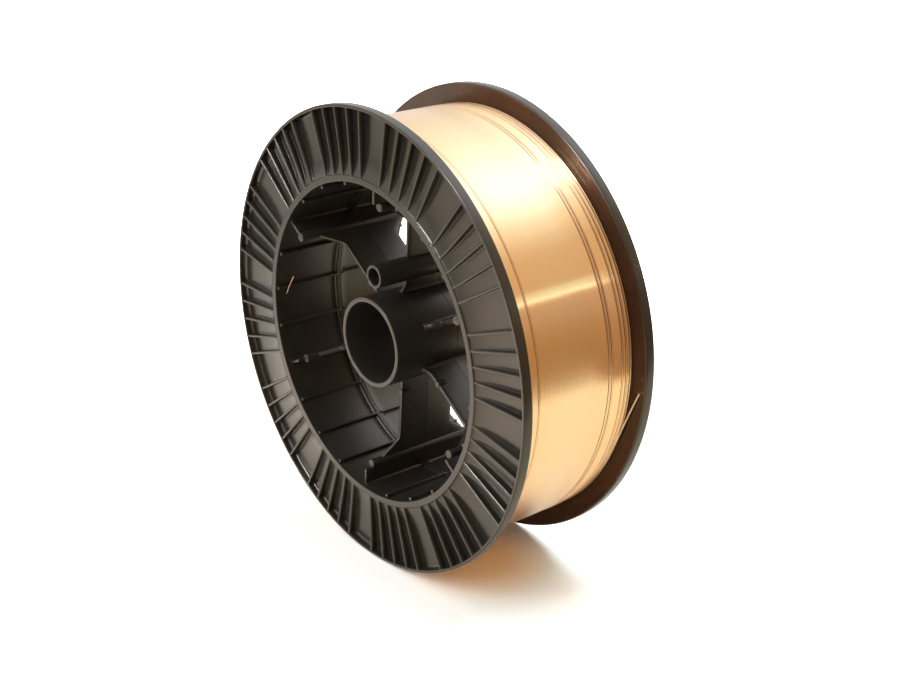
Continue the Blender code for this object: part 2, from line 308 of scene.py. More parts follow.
def moulding_shell():
    """Flange and drum of one half as one closed surface of rows round the section.

    A dish row is lifted to min(section, rib) where a rib stands in its sector. A lining row is drawn
    in to min(wall, rib). The wire side sinks a little behind each rib, as thick moulding does.
    """
    rows = moulding_rows()
    radius = np.array([row[0] for row in rows])
    depth = np.array([row[1] for row in rows])
    zone = np.array([row[2] for row in rows])
    sector, aside = sector_columns()
    base_angle = sector * RIB_PITCH
    offset = np.where(np.isnan(aside), 0, aside)[None, :] / radius[:, None]
    angle = base_angle[None, :] + np.where(np.isnan(aside)[None, :], RIB_PITCH / 2, offset)

    floor = dish_floor(radius)
    ribs = np.tile(rib_shape(floor - RIB_SETBACK), sector[-1] + 1)
    past_fin = sector - round(FIN_PHASE / RIB_PITCH)
    ribbed = (past_fin % GAP_STEP != 0)[None, :]
    rib_depth = np.where(ribbed, floor[:, None] - ribs, floor[:, None])
    row_depth = np.repeat(depth[:, None], len(sector), axis=1)
    dish = (zone == "dish")[:, None]
    row_depth = np.where(dish, np.minimum(row_depth, rib_depth), row_depth)

    sink_depth, sink_reach = 0.035 * MM, 0.9 * MM
    from_rib = np.where(np.isnan(aside), FLANGE_RADIUS, aside)
    sink = sink_depth * np.exp(-((from_rib / sink_reach) ** 2)) * ribbed[0]
    row_depth = row_depth - sink[None, :] * (zone == "wire side")[:, None]

    near_slope, far_slope, far_gap = 0.12 * MM, 0.2 * MM, 0.3 * MM
    starts = np.clip((depth - LINING_RIB_SETBACK) / near_slope, 0, 1)
    ends = np.clip((HALF_WIDTH - far_gap - depth) / far_slope, 0, 1)
    lined = ((past_fin % LINING_STEP == 0) & (past_fin % FIN_STEP != 0))[None, :]
    height = np.full(len(rows), LINING_RIB_HEIGHT) * starts * ends
    lining = np.tile(rib_shape(height), sector[-1] + 1) * lined
    row_radius = np.repeat(radius[:, None], len(sector), axis=1)
    inside = (zone == "lining")[:, None]
    row_radius = np.where(inside, np.minimum(row_radius, DRUM_INNER - lining), row_radius)
    return Shell(turned_point(row_radius, row_depth, angle), closed_rows=True)


def tube_shell(pitch, phase, inner, outer, near, far, columns, edge=0.45 * MM):
    """A tube along the spool's axis with rounded mouths: a section of rows carried round a circle."""
    section = arc_rows((inner + edge, near + edge), edge, -90, 0, 4)
    section += arc_rows((outer - edge, near + edge), edge, 0, 90, 4)
    section += [(outer, far), (inner, far)]
    radius = np.array([row[0] for row in section])[:, None]
    depth = np.array([row[1] for row in section])[:, None]
    turn = np.linspace(0, 2 * math.pi, columns, endpoint=False)[None, :]
    centre = turned_point(pitch, 0, phase)
    return Shell(turned_point(radius, depth, turn) + centre * [1, 0, 1], closed_rows=True)


def rod_shell(pitch, phase, radius, near, far, columns, edge=0.3 * MM):
    """A round rod along the spool's axis with a rounded, closed end facing out, and some draft."""
    draft = 1.03
    section = [(radius - edge, near)] + arc_rows((radius - edge, near + edge), edge, 22, 90, 3)
    section.append((radius * draft, far))
    rows = np.array(section)
    turn = np.linspace(0, 2 * math.pi, columns, endpoint=False)[None, :]
    centre = turned_point(pitch, 0, phase)
    return Shell(turned_point(rows[:, :1], rows[:, 1:], turn) + centre * [1, 0, 1])


def smooth_step(value, low, high):
    """0 below low, 1 above high, and 3 t^2 - 2 t^3 between."""
    share = np.clip((value - low) / (high - low), 0, 1)
    return share * share * (3 - 2 * share)


def fin_front(radius):
    """Depth of a fin's front edge along its radius.

    Near the hub it curls forward by a parabola. It runs level to the knee and climbs straight to the
    shoulder, s (x + sqrt(x^2 + b^2)) / 2 high at x past the knee. At the post it steps up to the thin
    web, which reaches the drum.
    """
    curl_height, curl_reach = 3.6 * MM, 6.5 * MM
    bend = 1.2 * MM
    web_rise, web_reach = 0.4 * MM, 0.9 * MM
    curl = curl_height * np.clip(1 - (radius - HUB_RADIUS) / curl_reach, 0, 1) ** 2
    slope = (FIN_SETBACK - FIN_SHOULDER_SETBACK) / (FIN_SHOULDER - FIN_KNEE)
    past = radius - FIN_KNEE
    climb = slope * (past + np.sqrt(past ** 2 + bend ** 2)) / 2
    edge = np.maximum(FIN_SETBACK - curl - climb, FIN_SHOULDER_SETBACK)
    web = WEB_SETBACK - web_rise * smooth_step(radius, WEB_START, WEB_START + web_reach)
    return np.where(radius > WEB_START, web, edge)


def fin_shell(angle):
    """A fin as a grid: along the radius, and round its section from one face over the edge.

    The half thickness grows towards mid width, as draft, and flares at both roots by a fillet
    f(x) = R - sqrt(R^2 - (R - x)^2).
    """
    radius = np.concatenate([
        np.linspace(27.6, 36, 13), np.linspace(38, 74, 10), np.linspace(75, 80, 9),
        np.linspace(82, 91.9, 6), [92.05, 92.2, 92.5], np.linspace(94, 101, 5),
        np.linspace(101.4, 103.3, 8),
    ]) * MM
    front = fin_front(radius)
    fillet, draft = 1.4 * MM, 0.3 * MM
    fin_half, web_half = 1.1 * MM, 0.95 * MM
    near_hub = np.clip(radius - HUB_RADIUS, 0, fillet)
    near_drum = np.clip(DRUM_INNER - radius, 0, fillet)
    flare = sum(fillet - np.sqrt(fillet ** 2 - (fillet - gap) ** 2) for gap in (near_hub, near_drum))
    thin = np.where(radius > WEB_START, web_half, fin_half) + flare
    round_turn = np.radians([90, 65, 40, 15, -15, -40, -65, -90])
    edge = 0.35 * MM
    faces = np.array([1.0, 0.55, 0.15])
    columns_across = []
    columns_depth = []
    for share in faces:
        columns_depth.append(front + edge + share * (HALF_WIDTH - front - edge))
        columns_across.append(thin + draft * share)
    for turn in round_turn:
        columns_depth.append(front + edge - edge * math.cos(turn))
        columns_across.append((thin - edge) * np.sign(turn) + edge * math.sin(turn))
    for share in faces[::-1]:
        columns_depth.append(front + edge + share * (HALF_WIDTH - front - edge))
        columns_across.append(-thin - draft * share)
    depth = np.stack(columns_depth, axis=1)
    aside = np.stack(columns_across, axis=1)
    direction = np.array([math.cos(angle), 0.0, -math.sin(angle)])
    middle = turned_point(radius[:, None], depth, angle)
    return Shell(middle + aside[..., None] * direction)


def half_shells():
    """Every surface of the front half but the flange and drum."""
    boss_near, boss_far = FIN_SETBACK - 0.5 * MM, 36 * MM
    nose_far, nose_edge = 4 * MM, 0.2 * MM
    shells = [tube_shell(0, 0, BORE_RADIUS, HUB_RADIUS, HUB_SETBACK, HALF_WIDTH, 160)]
    shells.append(
        tube_shell(DRIVE_PITCH, FIN_PHASE, DRIVE_RADIUS, DRIVE_OUTER, DRIVE_SETBACK, HALF_WIDTH, 56)
    )
    for fin in range(FIN_COUNT):
        angle = FIN_PHASE + fin * 2 * math.pi / FIN_COUNT
        if fin:
            shells.append(fin_shell(angle))
            shells.append(rod_shell(BOSS_PITCH, angle, BOSS_RADIUS, boss_near, boss_far, 24))
        near = LONG_POST_SETBACK if fin == LONG_POST else POST_SETBACK
        shells.append(rod_shell(POST_PITCH, angle, POST_RADIUS, near, HALF_WIDTH, 32))
        for rib in range(1, FIN_STEP // LINING_STEP):
            nose = (LINING_NOSE_PITCH, angle + rib * LINING_STEP * RIB_PITCH, LINING_NOSE_RADIUS)
            shells.append(rod_shell(*nose, LINING_NOSE_SETBACK, nose_far, 20, nose_edge))
    shells += split_fin_shells(FIN_PHASE)
    return shells


def split_fin_shells(angle):
    """The fin that carries the driving tube, in two stretches that end inside the tube's wall."""
    whole = fin_shell(angle)
    radius = np.linalg.norm(whole.points[:, 0, [0, 2]], axis=1)
    wall = (DRIVE_RADIUS + DRIVE_OUTER) / 2
    is_below = radius < DRIVE_PITCH - DRIVE_OUTER
    is_above = radius > DRIVE_PITCH + DRIVE_OUTER
    below, above = whole.points[is_below], whole.points[is_above]
    outward = np.array([math.sin(angle), 0, math.cos(angle)])
    stop = below[-1] + outward * (DRIVE_PITCH - wall - radius[is_below][-1])
    start = above[0] - outward * (radius[is_above][0] - DRIVE_PITCH - wall)
    return [
        Shell(np.concatenate([below, stop[None]])),
        Shell(np.concatenate([start[None], above])),
    ]


# How the turns lean, in degrees, at places in millimetres from the middle of the spool
LEAN_PLACES = (-46, -35, 12, 38)
LEAN_ANGLES = (25, 0, 0, -27)
# Joints of the outer layer that stand open: their place from the middle of the spool, and how wide
# and how deep they are, in millimetres
OPEN_JOINTS = (
    (-29.3, 0.18, 1.2), (27.8, 0.52, 2.6), (30.2, 0.52, 2.6), (38.4, 0.3, 1.8), (41.4, 0.35, 2.2),
    (43.8, 0.55, 2.6),
)
# Half the arc that a turn shows where the turns are pressed together, and beside an open joint
PACKED_REACH = math.radians(9)
OPEN_REACH = math.radians(62)
ARC_ROWS = 7


def coil_shell():
    """The outer layer of wire turn by turn, closed by its sides and the bore it is wound on.

    Across one turn the section is an arc: r = R - b m + b cos a and y = b sin a, centred on the turn,
    with m the greatest cosine on the arc and b so that its ends meet the next turns. Packed turns
    press each other into shallow arcs. Towards a flange the turns lean on each other like tiles, so
    their arcs face the middle of the spool. A foot row lies in each joint, deeper in an open one.
    Neighbouring turns wander together by w sin(t + i / 9) + w sin(3 t + i / 5) / 2, with w smaller
    towards the flanges. The second result tells how much painted shade each vertex gets: 1 at the
    foot of an open joint, less on the rows beside it, and 0 elsewhere.
    """
    columns = 120
    turn = np.linspace(0, 2 * math.pi, columns, endpoint=False)[None, :]
    near = wire_side(COIL_RADIUS) + COIL_GAP
    far = SPOOL_WIDTH - near
    count = int((far - near) / (2 * WIRE_RADIUS)) - 1
    even = near + np.arange(count + 1) * (far - near) / count - SPOOL_WIDTH / 2
    opening = np.zeros(count + 1)
    packed_fall, most_wander, most_sunk = 0.03 * MM, 0.03 * MM, 0.01 * MM
    fall = np.full(count + 1, packed_fall)
    reach = np.full(count, PACKED_REACH)
    for place, gap, deep in OPEN_JOINTS:
        joint = np.argmin(abs(even - place * MM))
        opening[joint] = gap * MM
        fall[joint] = deep * MM
        reach[joint - 1:joint + 1] = OPEN_REACH
    reach[-1] = OPEN_REACH
    pitch = (far - near - opening.sum()) / count
    starts = near + np.arange(count) * pitch + np.cumsum(opening[:-1])
    index = np.arange(count)[:, None]
    held = 4 * index * (count - 1 - index) / count ** 2
    wander = np.sin(turn + index / 9) + 0.5 * np.sin(3 * turn + index / 5)
    middles = starts[:, None] + pitch / 2 + most_wander * held * wander
    rng = np.random.default_rng(4)
    lift = rng.uniform(-1.0, 0.0, count) * most_sunk
    place = starts + pitch / 2 - SPOOL_WIDTH / 2
    lean = np.radians(np.interp(place / MM, LEAN_PLACES, LEAN_ANGLES))
    lean = np.where(reach == OPEN_REACH, lean / 2, lean)
    arc = lean[:, None] + reach[:, None] * np.linspace(-1, 1, ARC_ROWS)[None, :]
    rise, side = np.cos(arc), np.sin(arc)
    bend = (pitch / (side[:, -1] - side[:, 0]))[:, None]
    top = (COIL_RADIUS + lift)[:, None] - bend * (rise.max(axis=1)[:, None] - rise)
    top = np.repeat(top[:, :, None], columns, axis=2)
    across = bend * (side - (side[:, -1:] + side[:, :1]) / 2)
    across = middles[:, None, :] + across[:, :, None]
    joint_depth = np.concatenate([middles[:-1] + middles[1:], 2 * middles[-1:] + pitch]) / 2
    joint_radius = np.minimum(top[:, -1], np.roll(top[:, 0], -1, axis=0)) - fall[1:, None]
    radius = np.concatenate([top, joint_radius[:, None, :]], axis=1).reshape(-1, columns)
    depth = np.concatenate([across, joint_depth[:, None, :]], axis=1).reshape(-1, columns)
    depth = np.clip(depth, near, far)
    wall_radius = np.linspace(COIL_RADIUS - 2 * WIRE_RADIUS, DRUM_RADIUS + COIL_GAP, 12)
    wall_depth = wire_side(wall_radius) + COIL_GAP
    walls = np.concatenate([SPOOL_WIDTH - wall_depth, wall_depth[::-1]])
    wall_radius = np.concatenate([wall_radius, wall_radius[::-1]])
    radius = np.concatenate([radius, np.repeat(wall_radius[:, None], columns, axis=1)])
    depth = np.concatenate([depth, np.repeat(walls[:, None], columns, axis=1)])
    beside = 0.6
    # Painted shade in the open joints: full at a joint's foot, less on the rows beside it
    dark = np.zeros((count, ARC_ROWS + 1))
    for joint in np.flatnonzero(opening[:-1]):
        dark[joint - 1, -2:] = beside, 1.0
        dark[joint, 0] = beside
    row_dark = np.concatenate([dark.reshape(-1), np.zeros(len(walls))])
    return Shell(turned_point(radius, depth, turn), closed_rows=True), np.repeat(row_dark, columns)


def wire_shell(route, tip=1.0, columns=14):
    """A round wire along a route: rings across the route's tangent, found by finite differences.

    The last rings widen to the tip, where a cutter has nipped the wire.
    """
    along = np.gradient(route, axis=0)
    along /= np.linalg.norm(along, axis=1)[:, None]
    side = np.cross(along, [0.0, 1.0, 0.0])
    side /= np.linalg.norm(side, axis=1)[:, None]
    other = np.cross(along, side)
    turn = np.linspace(0, 2 * math.pi, columns, endpoint=False)[None, :, None]
    ring = side[:, None, :] * np.cos(turn) + other[:, None, :] * np.sin(turn)
    girth = np.ones(len(route))
    girth[-2:] = tip
    return Shell(route[:, None, :] + WIRE_RADIUS * girth[:, None, None] * ring)


def curve_through(points, steps):
    """A smooth curve through points: each stretch is a cubic with Catmull-Rom slopes."""
    points = np.asarray(points, float)
    padded = np.concatenate([[2 * points[0] - points[1]], points, [2 * points[-1] - points[-2]]])
    share = np.linspace(0, 1, steps, endpoint=False)[:, None]
    parts = []
    for i in range(len(points) - 1):
        a, b, c, d = padded[i:i + 4]
        parts.append(
            0.5 * (2 * b + (c - a) * share + (2 * a - 5 * b + 4 * c - d) * share ** 2
                   + (3 * b - a - 3 * c + d) * share ** 3)
        )
    parts.append(points[-1:])
    return np.concatenate(parts)


def tail_route():
    """The free outer end: it lies on the last turn, then runs off along the tangent with a bow."""
    leave = math.radians(114.5)
    side_depth = SPOOL_WIDTH - RIM_WIDTH - 0.8 * MM
    lying = np.radians([133, 128, 123, 118.5])
    sunk = np.array([1.0, 0.7, 0.45, 0.3]) * MM
    on_coil = turned_point(COIL_RADIUS - sunk, side_depth, lying)
    start = turned_point(COIL_RADIUS - 0.25 * MM, side_depth, leave)
    along = np.array([-math.cos(leave), 0, math.sin(leave)])
    length = 50.6 * MM
    out = start + along * (np.array([[0.12], [0.3], [0.5], [0.7], [0.9], [1.0]]) * length)
    bow = np.array([0, 0.1, 0.25, 0.3, 0.2, 0.0])[:, None] * MM
    out = out + np.cross(along, [0.0, 1.0, 0.0]) * bow
    return curve_through(np.concatenate([on_coil, start[None], out]), 8)


def start_route():
    """The wire's first end: through its hole in the drum, then bent up inside."""
    angle = math.radians(272)
    depth = 7.5 * MM
    through = turned_point(np.array([109.0, 104.0, 101.8]) * MM, depth, angle)
    rest = turned_point(
        np.array([100.2, 97.6, 93.8]) * MM,
        depth + np.array([0.1, 0.4, 1.0]) * MM,
        np.radians([272.7, 276.2, 281.3]),
    )
    return curve_through(np.concatenate([through, rest]), 8)


def node_group(material):
    """The nodes of a material and their links."""
    return material.node_tree.nodes, material.node_tree.links


def stretched_noise(nodes, links, coordinates, scale, stretch, detail=3.0, roughness=0.5):
    """Noise on object coordinates, stretched by a Mapping node."""
    mapping = nodes.new("ShaderNodeMapping")
    mapping.inputs["Scale"].default_value = stretch
    noise = nodes.new("ShaderNodeTexNoise")
    noise.inputs["Scale"].default_value = scale
    noise.inputs["Detail"].default_value = detail
    noise.inputs["Roughness"].default_value = roughness
    links.new(coordinates.outputs["Object"], mapping.inputs["Vector"])
    links.new(mapping.outputs["Vector"], noise.inputs["Vector"])
    return noise


def remap(nodes, links, source, low, high, to_low, to_high):
    """A value range moved to another, held at its ends."""
    node = nodes.new("ShaderNodeMapRange")
    node.inputs["From Min"].default_value = low
    node.inputs["From Max"].default_value = high
    node.inputs["To Min"].default_value = to_low
    node.inputs["To Max"].default_value = to_high
    links.new(source, node.inputs["Value"])
    return node


def mix_colours(nodes, links, factor, first, second):
    """A colour between two, by a factor. Either colour may be a socket."""
    node = nodes.new("ShaderNodeMix")
    node.data_type = "RGBA"
    links.new(factor, node.inputs["Factor"])
    for index, colour in ((6, first), (7, second)):
        if isinstance(colour, tuple):
            node.inputs[index].default_value = (*colour, 1.0)
        else:
            links.new(colour, node.inputs[index])
    return node.outputs[2]


def product(nodes, links, first, second):
    """Two values multiplied."""
    node = nodes.new("ShaderNodeMath")
    node.operation = "MULTIPLY"
    links.new(first, node.inputs[0])
    links.new(second, node.inputs[1])
    return node.outputs["Value"]


def axis_distance(nodes, links):
    """Distance from the spool's axis."""
    coordinates = nodes.new("ShaderNodeTexCoord")
    flat = nodes.new("ShaderNodeVectorMath")
    flat.operation = "MULTIPLY"
    flat.inputs[1].default_value = (1, 0, 1)
    length = nodes.new("ShaderNodeVectorMath")
    length.operation = "LENGTH"
    links.new(coordinates.outputs["Object"], flat.inputs[0])
    links.new(flat.outputs["Vector"], length.inputs[0])
    return length.outputs["Value"]


def side_distance(nodes, links):
    """Distance from the spool's mid width."""
    coordinates = nodes.new("ShaderNodeTexCoord")
    parts = nodes.new("ShaderNodeSeparateXYZ")
    aside = nodes.new("ShaderNodeMath")
    aside.operation = "ABSOLUTE"
    links.new(coordinates.outputs["Object"], parts.inputs["Vector"])
    links.new(parts.outputs["Y"], aside.inputs[0])
    return aside.outputs["Value"]


# Two tones each of the plastic and of the plastic with a painted reflection of the copper coil, and
# the dust specks
PLASTIC_TONES = ((0.013, 0.0115, 0.0090), (0.018, 0.0160, 0.0125))
COIL_REFLECTION_TONES = ((0.013, 0.0085, 0.006), (0.055, 0.020, 0.010))
SPECK_TONE = (0.35, 0.31, 0.26)


def moulded_plastic():
    """Black moulded plastic: satin, with cloudy tone, streaks in its gloss, fine grain and dust.

    It is duller inside the drum. On the wire sides of the flanges, outside the coil, a copper tone
    is painted in as the coil's reflection. It lies where y + s r < c, with y the distance from mid
    width, r the radius, s the flange's slope and c a little more than what the wire side has.
    """
    material = bpy.data.materials.new("moulded_plastic")
    material.use_nodes = True
    nodes, links = node_group(material)
    shader = nodes["Principled BSDF"]
    shader.inputs["IOR"].default_value = 1.63
    shader.inputs["Specular Tint"].default_value = (1.0, 0.8, 0.62, 1)
    coordinates = nodes.new("ShaderNodeTexCoord")
    cloud = stretched_noise(nodes, links, coordinates, 22, (1, 1, 1), 4)
    streak = stretched_noise(nodes, links, coordinates, 60, (1, 6, 1), 5, 0.6)
    grain = stretched_noise(nodes, links, coordinates, 2600, (1, 1, 1), 2)
    dust = nodes.new("ShaderNodeTexVoronoi")
    dust.feature = "F1"
    dust.inputs["Scale"].default_value = 62
    links.new(coordinates.outputs["Object"], dust.inputs["Vector"])
    tone = remap(nodes, links, cloud.outputs["Fac"], 0.3, 0.7, 0, 1)
    body = mix_colours(nodes, links, tone.outputs["Result"], *PLASTIC_TONES)
    slope = (RIM_WIDTH - FLANGE_ROOT) / (FLANGE_RADIUS - DRUM_RADIUS)
    radius = axis_distance(nodes, links)
    cone = nodes.new("ShaderNodeMath")
    cone.operation = "MULTIPLY_ADD"
    cone.inputs[1].default_value = slope
    links.new(radius, cone.inputs[0])
    links.new(side_distance(nodes, links), cone.inputs[2])
    limit = SPOOL_WIDTH / 2 - FLANGE_ROOT + slope * DRUM_RADIUS + 0.5 * MM
    wire_side_share = remap(nodes, links, cone.outputs["Value"], limit - 0.2 * MM, limit + 0.2 * MM, 1, 0)
    above = remap(nodes, links, radius, COIL_RADIUS - 4 * MM, COIL_RADIUS, 0, 1)
    copper = product(nodes, links, wire_side_share.outputs["Result"], above.outputs["Result"])
    coil_reflection = mix_colours(nodes, links, tone.outputs["Result"], *COIL_REFLECTION_TONES)
    # Paints the coil's copper reflection onto the wire sides of the flanges
    body = mix_colours(nodes, links, copper, body, coil_reflection)
    speck = remap(nodes, links, dust.outputs["Distance"], 0.012, 0.03, 0.55, 0)
    body = mix_colours(nodes, links, speck.outputs["Result"], body, SPECK_TONE)
    links.new(body, shader.inputs["Base Color"])
    gloss = remap(nodes, links, streak.outputs["Fac"], 0.25, 0.75, 0.2, 0.28)
    lip_start, lip_end = DRUM_INNER + 0.8 * MM, DRUM_INNER + 1.4 * MM
    inside = remap(nodes, links, radius, lip_start, lip_end, 0.12, 0)
    total = nodes.new("ShaderNodeMath")
    links.new(gloss.outputs["Result"], total.inputs[0])
    links.new(inside.outputs["Result"], total.inputs[1])
    links.new(total.outputs["Value"], shader.inputs["Roughness"])
    bump = nodes.new("ShaderNodeBump")
    bump.inputs["Strength"].default_value = 0.12
    bump.inputs["Distance"].default_value = 0.06 * MM
    links.new(grain.outputs["Fac"], bump.inputs["Height"])
    wave = nodes.new("ShaderNodeBump")
    wave.inputs["Strength"].default_value = 0.12
    wave.inputs["Distance"].default_value = 0.4 * MM
    links.new(cloud.outputs["Fac"], wave.inputs["Height"])
    links.new(bump.outputs["Normal"], wave.inputs["Normal"])
    links.new(wave.outputs["Normal"], shader.inputs["Normal"])
    return material


# Painted tones of the wound wire: redder beside the flanges, for the light of turns that mirror each
# other, and dark in its open joints, for the shade in them
MIRRORED_TURNS_TONE = (0.94, 0.57, 0.31)
JOINT_SHADE_TONE = (0.24, 0.07, 0.028)


def coated_wire(name, colour, deep, rough, brushed=0.0):
    """Bright copper on drawn steel wire: tone and gloss vary from turn to turn, not along a turn.

    Many fine turns side by side spread reflections along the spool's axis, which the brushed share
    of the gloss does where the turns are finer than the picture. Towards the flanges the colour is
    painted redder, for the light of turns that mirror each other. The open joints, which the mesh
    marks, are painted dark for the shade in them and don't shine.
    """
    material = bpy.data.materials.new(name)
    material.use_nodes = True
    nodes, links = node_group(material)
    shader = nodes["Principled BSDF"]
    shader.inputs["Metallic"].default_value = 1.0
    shader.inputs["Anisotropic"].default_value = brushed
    if brushed:
        axis = nodes.new("ShaderNodeCombineXYZ")
        axis.inputs["Y"].default_value = 1.0
        links.new(axis.outputs["Vector"], shader.inputs["Tangent"])
    coordinates = nodes.new("ShaderNodeTexCoord")
    turns = stretched_noise(nodes, links, coordinates, 8, (1, 60, 1), 4, 0.6)
    drawn = stretched_noise(nodes, links, coordinates, 30, (1, 90, 1), 3, 0.5)
    tone = remap(nodes, links, turns.outputs["Fac"], 0.3, 0.7, 0, 1)
    body = mix_colours(nodes, links, tone.outputs["Result"], colour, deep)
    if brushed:
        # Paints the redder light of turns mirroring each other in towards the flanges
        edge = remap(nodes, links, side_distance(nodes, links), 8 * MM, 42 * MM, 0, 1)
        body = mix_colours(nodes, links, edge.outputs["Result"], body, MIRRORED_TURNS_TONE)
        # Open joints get painted shade and lose their shine
        joint = nodes.new("ShaderNodeAttribute")
        joint.attribute_name = "open_joint_shade"
        body = mix_colours(nodes, links, joint.outputs["Fac"], body, JOINT_SHADE_TONE)
        bare = remap(nodes, links, joint.outputs["Fac"], 0, 1, 1, 0)
        links.new(bare.outputs["Result"], shader.inputs["Metallic"])
    links.new(body, shader.inputs["Base Color"])
    gloss = remap(nodes, links, drawn.outputs["Fac"], 0.3, 0.7, rough - 0.01, rough + 0.01)
    links.new(gloss.outputs["Result"], shader.inputs["Roughness"])
    return material


def seen_directly(nodes, links):
    """The ray's kinds, and a value of 1 for rays from the camera and refracted ones, else 0."""
    path = nodes.new("ShaderNodeLightPath")
    total = nodes.new("ShaderNodeMath")
    total.operation = "MAXIMUM"
    links.new(path.outputs["Is Camera Ray"], total.inputs[0])
    links.new(path.outputs["Is Transmission Ray"], total.inputs[1])
    return path, total


def distance_from(nodes, links, x, y):
    """Distance on the floor from a point."""
    coordinates = nodes.new("ShaderNodeTexCoord")
    reach = nodes.new("ShaderNodeVectorMath")
    reach.operation = "DISTANCE"
    reach.inputs[1].default_value = (x, y, FLOOR_LEVEL)
    links.new(coordinates.outputs["Object"], reach.inputs[0])
    return reach.outputs["Value"]


# Painted shade and light on the floor where it is seen: x, y, the distances where the tone is full
# and where it ends, and the tone. They are a cooler painted shade in the shadow in front, painted
# light between the flanges, and a painted warm glow of the copper's light under the coil
PAINTED_FLOOR_LIGHT_AND_SHADE = (
    (0.100, -0.027, 0.015, 0.05, (1.2, 1.26, 1.23)),
    (0.078, 0.033, 0.006, 0.04, (2.0, 2.3, 2.3)),
    (0.052, -0.004, 0.02, 0.052, (1.4, 1.13, 0.84)),
)
# Painted shade of the mirrored floor towards its right edge, seen in reflections only: x where each
# tone comes in, x where it is full, and the tone
MIRRORED_EDGE_SHADE = ((0.0, 0.2, (0.87, 0.90, 0.75)), (0.41, 0.48, (0.49, 0.34, 0.19)))


def pale_floor():
    """A white floor. Where it is seen, its colour is lifted to the background's white with distance.

    Diffuse bounces meet the plain colour. Where it is seen, painted shade and light lie on it round
    the spool's foot. Reflections meet a painted pool of light that falls off with distance from a
    place on the left, and painted shade towards the floor's right edge.
    """
    material = bpy.data.materials.new("pale_floor")
    material.use_nodes = True
    nodes, links = node_group(material)
    shader = nodes["Principled BSDF"]
    shader.inputs["Roughness"].default_value = 0.9
    shader.inputs["Specular IOR Level"].default_value = 0.0
    path, straight = seen_directly(nodes, links)
    away = remap(nodes, links, distance_from(nodes, links, 0, 0), 0.3, 0.8, 0, 1)
    seen = mix_colours(nodes, links, away.outputs["Result"], (1.4, 1.38, 1.33), (3.4, 3.4, 3.4))
    # Paints the shade and light of each place into the seen floor
    for x, y, near, far, tone in PAINTED_FLOOR_LIGHT_AND_SHADE:
        place = remap(nodes, links, distance_from(nodes, links, x, y), near, far, 0, 1)
        seen = mix_colours(nodes, links, place.outputs["Result"], tone, seen)
    # Reflections see a painted pool of light round a place on the left
    apart = remap(nodes, links, distance_from(nodes, links, -0.1, -0.15), 0, 0.6, 0, 1)
    mirrored = mix_colours(
        nodes, links, apart.outputs["Result"], (1.6, 1.53, 1.42), (0.82, 0.78, 0.72)
    )
    coordinates = nodes.new("ShaderNodeTexCoord")
    parts = nodes.new("ShaderNodeSeparateXYZ")
    links.new(coordinates.outputs["Object"], parts.inputs["Vector"])
    # Painted shade towards the right edge, in reflections only
    for first, last, tone in MIRRORED_EDGE_SHADE:
        place = remap(nodes, links, parts.outputs["X"], first, last, 0, 1)
        mirrored = mix_colours(nodes, links, place.outputs["Result"], mirrored, tone)
    glossy = mix_colours(nodes, links, path.outputs["Is Glossy Ray"], (0.8, 0.79, 0.77), mirrored)
    colour = mix_colours(nodes, links, straight.outputs["Value"], glossy, seen)
    links.new(colour, shader.inputs["Base Color"])
    return material


def build_stage():
    """The floor. It ends on the spool's right side, as a table does."""
    far, right = 3.0, 0.48
    mesh = bpy.data.meshes.new("floor")
    corners = [(-far, -far), (right, -far), (right, far), (-far, far)]
    mesh.from_pydata([(x, y, FLOOR_LEVEL) for x, y in corners], [], [(0, 1, 2, 3)])
    mesh.materials.append(pale_floor())
    floor = bpy.data.objects.new("floor", mesh)
    bpy.context.scene.collection.objects.link(floor)


# Tones of the room in reflections round the spool's axis, by degrees from straight up to the right
ROOM_TONES = [
    (-180, (1.1, 1.07, 1.03)),
    (-120, (1.25, 1.2, 1.15)),
    (-90, (1.05, 1.03, 1.06)),
    (-60, (1.05, 1.13, 1.12)),
    (-34, (1.34, 1.55, 1.66)),
    (-16, (1.6, 1.8, 2.05)),
    (-6, (2.1, 2.3, 2.7)),
    (10, (2.1, 2.3, 2.7)),
    (23, (1.45, 1.48, 1.48)),
    (33, (1.0, 1.0, 0.8)),
    (44, (0.82, 0.68, 0.49)),
    (58, (0.78, 0.64, 0.42)),
    (76, (0.64, 0.50, 0.37)),
    (87, (0.52, 0.37, 0.21)),
    (97, (0.46, 0.31, 0.165)),
    (180, (0.40, 0.29, 0.19)),
]
# Stripes of light behind the spool: middle and half width in degrees, then brightness. They come in
# between two values of the ray's y
STRIPES = ((65.4, 2.6, (1.0, 1.1, 0.9)), (67.3, 0.6, (2.5, 2.6, 2.3)))
STRIPE_START, STRIPE_FULL = 0.0, 0.1
# Tones of what the spool mirrors in front on the right, and of the even room for diffuse light
FRONT_RIGHT_TONE = (0.25, 0.24, 0.23)
EVEN_TONE = (0.22, 0.22, 0.215)


